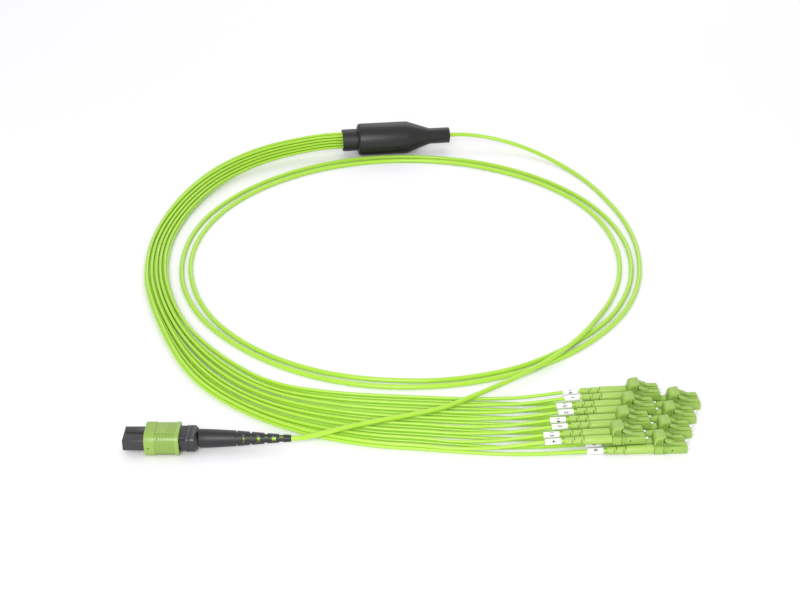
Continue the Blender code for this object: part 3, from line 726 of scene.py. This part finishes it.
class StudioSettings(bpy.types.PropertyGroup):
    floor: colour_setting("Floor", "Floor colour", "F5F5F5")
    floor_size: length_setting("Floor size", "Side of the floor", 8.0)
    fill: FloatProperty(name="Fill", description="Strength of the light from all round", default=0.8)
    fill_colour: FloatVectorProperty(
        name="Fill colour", description="Colour of the light from all round", subtype="COLOR", size=4,
        min=0, max=1, default=(0.975, 0.955, 1.0, 1.0))
    rear_power: FloatProperty(
        name="Rear power", description="Power of the rear soft box in watts", default=4.5)
    rear_size: length_setting("Rear size", "Side of the rear soft box", 1.0)
    rear_place: place_setting("Rear place", "Place of the rear soft box", (0.15, 1.15, 1.0))
    front_power: FloatProperty(
        name="Front power", description="Power of the front soft box in watts", default=12.0)
    front_size: length_setting("Front size", "Side of the front soft box", 0.6)
    front_place: place_setting("Front place", "Place of the front soft box", (-0.2, -1.22, 0.82))
    camera_place: place_setting("Camera", "Place of the camera", (-11.4 * MM, -817.9 * MM, 470.0 * MM))
    tilt: FloatProperty(
        name="Tilt", description="How far the camera looks down", subtype="ANGLE",
        default=math.radians(31))
    lens: FloatProperty(name="Lens", description="Focal length in millimetres", default=63.0)


def cords():
    return bpy.context.scene.breakout_cords


def plugs():
    return bpy.context.scene.breakout_plugs


def studio():
    return bpy.context.scene.breakout_studio


# Duplex plugs


def plug_body():
    """The square body: ribs by the clip, a slanted hole in each side, and a mouth round the ferrule."""
    half = BODY_HALF
    body = centred_block("plug_body", BODY_START, BODY_LENGTH, half, half)
    bevel_edges(
        body, lambda a, b: min(a.x, b.x) > BODY_LENGTH - 0.1 and min(a.z, b.z) > 0, BODY_FRONT_CHAMFER)
    soften(body, BODY_EDGE)
    x, z, radius, proud = BODY_BOSS
    boss = rod("boss", (x, 0, z), radius, 2 * (half + proud), (math.pi / 2, 0, 0))
    fuse(body, boss, centred_block("neck", *BODY_NECK))
    rib_end = RIB_START + RIB_COUNT * RIB_PITCH
    comb = block("ribs", (RIB_START, -half * 2, -half * 2), (RIB_START + RIB_PITCH / 3, half * 2, half * 2))
    for index in range(1, RIB_COUNT):
        x = RIB_START + index * RIB_PITCH
        tooth = block("tooth", (x, -half * 2, -half * 2), (x + RIB_PITCH / 3, half * 2, half * 2))
        fuse(comb, tooth)
    core = half - RIB_DEPTH
    cut(comb, centred_block("rib_core", RIB_START - 1, rib_end + 1, core, core))
    cut(body, comb)
    for side in (-1, 1):
        x, z = HOLE_MIDDLE
        width, height = HOLE_SIZE
        hole = block(
            "side_hole", (-width / 2, -HOLE_DEPTH, -height / 2), (width / 2, HOLE_DEPTH, height / 2))
        hole.data.transform(
            Matrix.Translation(Vector((x, side * half, z)) * MM) @ Matrix.Rotation(HOLE_SLANT, 4, "Y"))
        cut(body, hole)
    mouth = rod(
        "mouth", (BODY_LENGTH, 0, 0), FERRULE_MOUTH_DIA / 2, 2 * FERRULE_MOUTH_DEPTH, (0, math.pi / 2, 0))
    return dress(cut(body, mouth), moulded_green())


def plug_latch():
    """The latch: a root pad at the front, a saddle with a small hole, and a tail that rises."""
    latch = side_view("plug_latch", LATCH_SIDE, LATCH_WIDTH)
    soften(latch, LATCH_EDGE)
    start, end, width = LATCH_WAIST
    for low, high in ((-LATCH_WIDTH, -width / 2), (width / 2, LATCH_WIDTH)):
        cut(latch, block("waist", (start, low, 0), (end, high, OUTSIDE)))
    x, diameter = LATCH_HOLE
    return dress(cut(latch, rod("latch_hole", (x, 0, 4), diameter / 2, 6, (0, 0, 0))), moulded_green())


def saw_cuts(boot, x, width, floor, on_sides):
    """Two cuts across a boot, on its two sides or from above and below, down to a floor near its axis."""
    low, high = x - width / 2, x + width / 2
    for near, far in ((-OUTSIDE, -floor), (floor, OUTSIDE)):
        span, full = (near, far), (-OUTSIDE, OUTSIDE)
        (low_y, high_y), (low_z, high_z) = (span, full) if on_sides else (full, span)
        cut(boot, block("saw_cut", (low, low_y, low_z), (high, high_y, high_z)))


def plug_boot():
    """The boot: two short blocks with half slits between them, then a long sleeve with soft flats."""
    bore = ((BOOT_BORE_DEPTH, BOOT_BORE_DIA / 2), (0, BOOT_BORE_DIA / 2))
    stations = [(BOOT_REAR + x, radius) for x, radius in (*bore, *BOOT_STATIONS)]
    boot = lathe("plug_boot", stations, BOOT_SIDES)
    bevel_edges(
        boot, lambda a, b: lengthwise(a, b) and a.x > BOOT_REAR + 1 and a.yz.length > 1.5, BOOT_EDGE, 2)
    for slits, on_sides in ((BOOT_SIDE_SLITS, True), (BOOT_TOP_SLITS, False)):
        for x, width in slits:
            saw_cuts(boot, BOOT_REAR + x, width, BOOT_SLIT_FLOOR, on_sides)
    return dress(boot, soft_green())


def plug_ferrule():
    return dress(lathe("plug_ferrule", FIBRE_FERRULE, sides=32), sintered_ceramic())


def duplex_clip():
    """The clip over two plugs, with its arched thumb trigger."""
    low = -BODY_HALF
    clip = block("clip", (0, -CLIP_HALF, low), (CLIP_LENGTH, CLIP_HALF, CLIP_TOP))
    bevel_edges(clip, lambda a, b: lengthwise(a, b) and min(a.z, b.z) > 0, CLIP_CHAMFER)
    for side in (-1, 1):
        middle = side * PLUG_PITCH / 2
        cut(clip, block(
            "bore", (-1, middle - CLIP_BORE_HALF, low - 1),
            (CLIP_LENGTH + 1, middle + CLIP_BORE_HALF, CLIP_BORE_HALF)))
    start, end, top = CLIP_NOTCH
    cut(clip, block("notch", (start, -CLIP_HALF - 1, low - 1), (end, CLIP_HALF + 1, top)))
    soften(clip, CLIP_EDGE, 1, 50)
    return dress(fuse(clip, clip_trigger()), moulded_green())


def clip_trigger():
    """An arch from the clip's rear wall to its front edge, with a lip, a ribbed top and sunk sides."""
    bend = TRIGGER_BEND
    middle = (TRIGGER_REAR + bend, TRIGGER_TOP - bend)
    turns = [math.radians(angle) for angle in range(180, 90, -TRIGGER_BEND_STEP)]
    arc = [(middle[0] + bend * math.cos(turn), middle[1] + bend * math.sin(turn)) for turn in turns]
    outline = ((TRIGGER_REAR, TRIGGER_FOOT), *arc, TRIGGER_LIP, *TRIGGER_UNDER)
    trigger = soften(side_view("trigger", outline, TRIGGER_WIDTH), TRIGGER_EDGE, 2, 40)
    for side in (-1, 1):
        web = side_view("web", WEB_SIDE, 2 * WEB_DEPTH, side * TRIGGER_WIDTH / 2)
        cut(trigger, web)
    rib_start = middle[0] + TRIGGER_RIB_START
    pitch = (TRIGGER_LIP[0] - rib_start) / TRIGGER_RIBS
    slope = (TRIGGER_LIP[1] - TRIGGER_TOP) / (TRIGGER_LIP[0] - middle[0])
    for index in range(TRIGGER_RIBS):
        x = rib_start + index * pitch
        top = TRIGGER_TOP + slope * (x - middle[0])
        half = TRIGGER_WIDTH / 2 - TRIGGER_RIB_INSET
        low, high = (x, -half, top - TRIGGER_RIB_INSET), (x + pitch / 2, half, top + TRIGGER_RIB_DEPTH)
        fuse(trigger, block("rib", low, high))
    return trigger


# Multi-fibre plug


def plug_housing():
    """The flat nose with its long key, a groove beside the key, and the ferrule's pocket."""
    housing = centred_block("housing", 0, NOSE_END, *NOSE_HALF)
    bevel_edges(housing, lengthwise, NOSE_CHAMFER)
    start, end, low, high, top = KEY
    key = block("key", (start, low, 0), (end, high, top))
    bevel_edges(key, lambda a, b: lengthwise(a, b) and min(a.z, b.z) > 1, KEY_EDGE, 2)
    fuse(housing, key)
    low, high, floor = KEY_GROOVE
    cut(housing, block("key_groove", (start, low, floor), (end, high, OUTSIDE)))
    soften(housing, NOSE_EDGE, 2, 50)
    depth, half_y, half_z = POCKET
    return dress(cut(housing, centred_block("pocket", -1, depth, half_y, half_z)), moulded_black())


def array_ferrule():
    """The fibre array's ferrule, with its two pin holes and the fine slot of fibre ends."""
    start, end, half_y, half_z = ARRAY_FERRULE
    ferrule = soften(centred_block("array_ferrule", start, end, half_y, half_z), ARRAY_EDGE)
    for side in (-1, 1):
        place = (start, side * PIN_SPREAD / 2, 0)
        cut(ferrule, rod("pin_hole", place, PIN_DIA / 2, 4, (0, math.pi / 2, 0), sides=16))
    width, height, depth = ARRAY_SLOT
    slot = centred_block("fibre_slot", start - 1, start + depth, width / 2, height / 2)
    return dress(cut(ferrule, slot), moulded_black())


def rounded_bar(name, start, end, half_y, half_z, radius):
    bar = centred_block(name, start, end, half_y, half_z)
    return bevel_edges(bar, lengthwise, radius, 8)


def plug_coupling():
    """The pull-back coupling: a smooth collar, a fluted waist, a sunk panel on top and a flared lip."""
    start, end, half_y, half_z = COUPLING
    coupling = rounded_bar("coupling", start, end, half_y, half_z, COUPLING_ROUND)
    bevel_edges(
        coupling, lambda a, b: abs(a.x - b.x) < NEAR and min(abs(a.x - start), abs(a.x - end)) < NEAR,
        COUPLING_EDGE, 3)
    front, rear, depth = WAIST
    waist = centred_block("waist", front, rear, half_y + 2, half_z + 2)
    cut(waist, rounded_bar(
        "waist_core", front - 1, rear + 1, half_y - depth, half_z - depth, COUPLING_ROUND - depth))
    cut(coupling, waist)
    comb = None
    for index in range(GROOVE_COUNT):
        x = GROOVE_START + index * GROOVE_PITCH
        slab = centred_block("flute", x, x + GROOVE_WIDTH, half_y + 2, half_z + 2)
        comb = fuse(comb, slab) if comb else slab
    cut(comb, rounded_bar(
        "flute_core", front - 1, rear + 1, half_y - GROOVE_DEPTH, half_z - GROOVE_DEPTH,
        COUPLING_ROUND - GROOVE_DEPTH))
    low_x, high_x, low_y, high_y, floor = PANEL
    cut(comb, block("panel_guard", (low_x, low_y, 0), (high_x, high_y, half_z + 3)))
    cut(coupling, comb)
    cut(coupling, block("panel", (low_x, low_y, floor), (high_x, high_y, half_z + 1)))
    width, low_y, high_y, top = PANEL_BAR
    for x in PANEL_BARS:
        bar = block("bar", (x, low_y, floor - 0.5), (x + width, high_y, top))
        fuse(coupling, soften(bar, PANEL_BAR_EDGE))
    x, z, radius = SIDE_HOLE
    cut(coupling, rod("side_hole", (x, -half_y, z), radius, 3, (math.pi / 2, 0, 0)))
    return dress(cut(coupling, centred_block("bore", start - 1, end + 1, *COUPLING_BORE)), coupling_green())


def plug_rear_body():
    """The slotted neck and the eight-sided crimp collar, chamfered towards the boot."""
    neck = centred_block("rear_body", *NECK)
    bevel_edges(neck, lengthwise, NOSE_CHAMFER)
    for start, end, low_y, high_y, low_z in NECK_SLOTS:
        cut(neck, block("neck_slot", (start, low_y, low_z), (end, high_y, low_z + 3)))
    start, end, half_y, half_z = CRIMP
    crimp = centred_block("crimp", start, end, half_y, half_z)
    bevel_edges(crimp, lengthwise, CRIMP_CHAMFER)
    bevel_edges(crimp, lambda a, b: min(a.x, b.x) > end - NEAR, CRIMP_REAR_CHAMFER)
    x, width, depth = CRIMP_SEAM
    seam = centred_block("seam", x, x + width, half_y + 2, half_z + 2)
    core = centred_block("seam_core", x - 1, x + width + 1, half_y - depth, half_z - depth)
    bevel_edges(core, lengthwise, CRIMP_CHAMFER)
    cut(crimp, cut(seam, core))
    return dress(soften(fuse(neck, crimp), CRIMP_EDGE, 2, 40), moulded_black())


def plug_strain_boot():
    """The hollow boot: smooth at first, then a taper with slots on top and below, and on both sides.

    Each slot has two saw cuts, and a window at its height through to the cord. The boot has rolled
    a little on its cord.
    """
    start = PLUG_BOOT_START
    boot = lathe("strain_boot", [(start + x, radius) for x, radius in PLUG_BOOT_STATIONS], sides=64)
    (narrowing, widest), (narrow_end, narrowest) = PLUG_BOOT_STATIONS[5], PLUG_BOOT_STATIONS[7]
    slope = (widest - narrowest) / (narrow_end - narrowing)
    for slots, share, window, on_sides in (
        (TOP_SLOTS, TOP_SLOT_SHARE, TOP_SLOT_WINDOW, False),
        (SIDE_SLOTS, SIDE_SLOT_SHARE, SIDE_SLOT_WINDOW, True),
    ):
        for x, width in slots:
            saw_cuts(boot, start + x, width, share * (widest - slope * (x - narrowing)), on_sides)
            low, high = start + x - width / 2, start + x + width / 2
            cut(boot, block("window", (low, -OUTSIDE, window[0]), (high, OUTSIDE, window[1])))
    boot.data.transform(Matrix.Rotation(PLUG_BOOT_ROLL, 4, "X"))
    return dress(boot, soft_black())


# Breakout body


def breakout_shell():
    return dress(lathe("breakout_shell", BREAKOUT_STATIONS, sides=96), satin_black())


def leg_gland():
    """The soft collar that the sixteen legs come out of."""
    return dress(lathe("leg_gland", COLLAR_STATIONS, sides=72), soft_black())


# Number sleeves


def marker_tube():
    """A short white tube with rounded rims."""
    bpy.ops.object.select_all(action="DESELECT")
    bpy.ops.mesh.primitive_cylinder_add(
        vertices=56, radius=SLEEVE_DIA / 2 * MM, depth=SLEEVE_LENGTH * MM, end_fill_type="NOTHING",
        rotation=(0, math.pi / 2, 0))
    tube = named("marker_tube")
    apply_modifier(tube, "SOLIDIFY", thickness=SLEEVE_WALL * MM, offset=-1)
    return dress(soften(tube, SLEEVE_RIM, 3, 60), printed_sleeve())


def printed_digits(number, turn):
    """The leg's number as thin solids wrapped round the sleeve: it reads round it, its tops ahead."""
    bpy.ops.object.select_all(action="DESELECT")
    bpy.ops.object.text_add()
    text = bpy.context.object.data
    text.body = str(number)
    text.size = DIGIT_SIZE * MM
    text.offset = DIGIT_BOLD * MM
    text.extrude = DIGIT_RAISE * MM
    text.align_x = "CENTER"
    text.align_y = "CENTER"
    bpy.ops.object.convert(target="MESH")
    digits = bpy.context.object
    bpy.ops.object.mode_set(mode="EDIT")
    width = digits.dimensions.x
    for strip in range(1, DIGIT_STRIPS):
        bpy.ops.mesh.select_all(action="SELECT")
        bpy.ops.mesh.bisect(
            plane_co=(width * (strip / DIGIT_STRIPS - 0.5), 0, 0), plane_no=(1, 0, 0), threshold=0.000001)
    bpy.ops.object.mode_set(mode="OBJECT")
    radius = SLEEVE_DIA / 2 * MM
    for vertex in digits.data.vertices:
        reading, up, out = vertex.co
        angle = math.radians(turn) + reading / radius
        vertex.co = (up, -(radius + out) * math.sin(angle), (radius + out) * math.cos(angle))
    return dress(digits, marker_ink())


def sleeve_place(points):
    """The sleeve's axes on its leg, from the leg's points: a little behind the boot, along the leg."""
    lengths = np.linalg.norm(np.diff(points, axis=0), axis=1)
    back = lengths.sum() - np.concatenate([[0.0], np.cumsum(lengths)])
    near = (LEG_ENTRY + SLEEVE_BACK) * MM
    ends = [
        Vector([np.interp(-place, -back, points[:, axis]) for axis in range(3)])
        for place in (near + SLEEVE_LENGTH * MM, near)
    ]
    ahead = (ends[1] - ends[0]).normalized()
    side = Vector((0, 0, 1)).cross(ahead).normalized()
    turn = Matrix((ahead, side, ahead.cross(side))).transposed().to_4x4()
    return Matrix.Translation((ends[0] + ends[1]) / 2) @ turn


# Operators


class BREAKOUT_OT_sleeves(bpy.types.Operator):
    """Makes a numbered white sleeve for each leg"""

    bl_idname = "breakout.sleeves"
    bl_label = "Number sleeves"

    def execute(self, context):
        tube = marker_tube()
        for number, points in leg_points(cords().leg_points, cords().leg_dia / MM).items():
            sleeve = copy_piece(tube, f"number_sleeve_{number:02d}")
            digits = printed_digits(number, DIGIT_TURN + (number * 7 % 5 - 2) * DIGIT_TURN_STEP)
            only(sleeve)
            digits.select_set(True)
            bpy.ops.object.join()
            place_piece(sleeve, sleeve_place(points), CABLE, None)
        bpy.data.objects.remove(tube, do_unlink=True)
        return {"FINISHED"}


class BREAKOUT_OT_trunk(bpy.types.Operator):
    """Lays the trunk's jacket from the big plug's boot to the breakout body"""

    bl_idname = "breakout.trunk"
    bl_label = "Trunk cord"

    def execute(self, context):
        points = trunk_points(cords().trunk_points)
        trunk = lay_cord("trunk_jacket", points, cords().trunk_dia, extruded_jacket())
        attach(trunk, CABLE)
        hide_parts("trunk_cord")
        return {"FINISHED"}


class BREAKOUT_OT_legs(bpy.types.Operator):
    """Lays the sixteen legs from the breakout body to the duplex plugs, with their sleeves on them"""

    bl_idname = "breakout.legs"
    bl_label = "Legs"

    def execute(self, context):
        for number, points in leg_points(cords().leg_points, cords().leg_dia / MM).items():
            leg = lay_cord(f"leg_jacket_{number:02d}", points, cords().leg_dia, extruded_jacket())
            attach(leg, CABLE)
            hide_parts(f"leg_cord_{number:02d}")
        return {"FINISHED"}


class BREAKOUT_OT_duplex_plugs(bpy.types.Operator):
    """Models a duplex plug's body, latch, boot and ferrule once and copies them to all sixteen legs"""

    bl_idname = "breakout.duplex_plugs"
    bl_label = "Duplex plugs"

    def execute(self, context):
        for source, slot in (
            (plug_body(), "green_plastic"), (plug_latch(), "green_plastic"), (plug_boot(), "green_plastic"),
            (plug_ferrule(), None),
        ):
            for number in range(1, LEGS + 1):
                piece = copy_piece(source, f"{source.name}_{number:02d}")
                place_piece(piece, duplex_plug_place(number), CABLE, slot, f"lc_plug_{number:02d}")
            bpy.data.objects.remove(source, do_unlink=True)
        return {"FINISHED"}


class BREAKOUT_OT_clips(bpy.types.Operator):
    """Models the duplex clip with its trigger once and copies it to all eight pairs"""

    bl_idname = "breakout.clips"
    bl_label = "Duplex clips"

    def execute(self, context):
        source = duplex_clip()
        for index, pair in enumerate(PAIRS):
            first, second = (duplex_plug_place(number) for number in pair)
            middle = (first.translation + second.translation) / 2
            piece = copy_piece(source, f"clip_and_trigger_{index + 1}")
            place = placed(middle, first.to_euler().z)
            place_piece(piece, place, CABLE, "green_plastic", f"duplex_clip_{index + 1}")
        bpy.data.objects.remove(source, do_unlink=True)
        return {"FINISHED"}


class BREAKOUT_OT_big_plug(bpy.types.Operator):
    """Models the multi-fibre plug: nose, array ferrule, coupling, rear body and strain boot"""

    bl_idname = "breakout.big_plug"
    bl_label = "Multi-fibre plug"

    def execute(self, context):
        place = big_plug_place()
        place_piece(plug_housing(), place, CABLE, "black_plastic", "mpo_housing")
        place_piece(array_ferrule(), place, CABLE, "black_plastic", "mpo_ferrule")
        place_piece(plug_coupling(), place, COUPLING_BODY, "green_plastic", "mpo_coupling")
        place_piece(plug_rear_body(), place, CABLE, "black_plastic", "mpo_rear_body")
        place_piece(plug_strain_boot(), place, CABLE, "black_rubber", "mpo_boot")
        return {"FINISHED"}


class BREAKOUT_OT_breakout(bpy.types.Operator):
    """Models the breakout body and the soft collar round its legs"""

    bl_idname = "breakout.breakout"
    bl_label = "Breakout body"

    def execute(self, context):
        place = breakout_place()
        place_piece(breakout_shell(), place, CABLE, "black_plastic", "breakout_body")
        place_piece(leg_gland(), place, CABLE, "black_rubber", "leg_collar")
        return {"FINISHED"}


class BREAKOUT_OT_studio(bpy.types.Operator):
    """Sets up the floor, two soft boxes that face its middle, the light from all round and the camera"""

    bl_idname = "breakout.studio"
    bl_label = "Studio"

    def execute(self, context):
        settings = studio()
        bpy.ops.object.select_all(action="DESELECT")
        bpy.ops.mesh.primitive_plane_add(size=settings.floor_size, location=(0, 0, 0))
        floor = named("floor")
        floor.data.materials.append(painted_floor())
        for name, place, size, power in (
            ("rear_soft_box", settings.rear_place, settings.rear_size, settings.rear_power),
            ("front_soft_box", settings.front_place, settings.front_size, settings.front_power),
        ):
            bpy.ops.object.light_add(type="AREA", location=place)
            light = context.object
            light.name = name
            light.data.size = size
            light.data.energy = power
            light.rotation_euler = Vector(place).to_track_quat("Z", "Y").to_euler()
        world = bpy.data.worlds.new("studio_walls")
        world.use_nodes = True
        world.node_tree.nodes["Background"].inputs["Color"].default_value = settings.fill_colour
        world.node_tree.nodes["Background"].inputs["Strength"].default_value = settings.fill
        context.scene.world = world
        bpy.ops.object.camera_add(
            location=settings.camera_place, rotation=(math.pi / 2 - settings.tilt, 0, 0))
        camera = context.object
        camera.data.lens = settings.lens
        context.scene.camera = camera
        context.scene.view_settings.view_transform = "Standard"
        return {"FINISHED"}


class BREAKOUT_PT_panel(bpy.types.Panel):
    bl_label = "Breakout cable"
    bl_idname = "BREAKOUT_PT_panel"
    bl_space_type = "VIEW_3D"
    bl_region_type = "UI"
    bl_category = "Breakout cable"

    def draw(self, context):
        layout = self.layout
        for operator in OPERATORS:
            layout.operator(operator.bl_idname)
        for settings in (cords(), plugs(), studio()):
            box = layout.box()
            for name in settings.__annotations__:
                box.prop(settings, name)


# The cords and the camera come first, and the sleeves before the legs that carry them
OPERATORS = (
    BREAKOUT_OT_studio, BREAKOUT_OT_trunk, BREAKOUT_OT_sleeves, BREAKOUT_OT_legs, BREAKOUT_OT_big_plug,
    BREAKOUT_OT_breakout, BREAKOUT_OT_duplex_plugs, BREAKOUT_OT_clips,
)
CLASSES = (CordSettings, PlugSettings, StudioSettings, *OPERATORS, BREAKOUT_PT_panel)


def register():
    for cls in CLASSES:
        bpy.utils.register_class(cls)
    bpy.types.Scene.breakout_cords = PointerProperty(type=CordSettings)
    bpy.types.Scene.breakout_plugs = PointerProperty(type=PlugSettings)
    bpy.types.Scene.breakout_studio = PointerProperty(type=StudioSettings)


def unregister():
    del bpy.types.Scene.breakout_studio
    del bpy.types.Scene.breakout_plugs
    del bpy.types.Scene.breakout_cords
    for cls in reversed(CLASSES):
        bpy.utils.unregister_class(cls)


def main():
    register()
    bpy.ops.breakout.studio()
    bpy.ops.breakout.trunk()
    bpy.ops.breakout.sleeves()
    bpy.ops.breakout.legs()
    bpy.ops.breakout.big_plug()
    bpy.ops.breakout.breakout()
    bpy.ops.breakout.duplex_plugs()
    bpy.ops.breakout.clips()


if __name__ == "__main__":
    main()
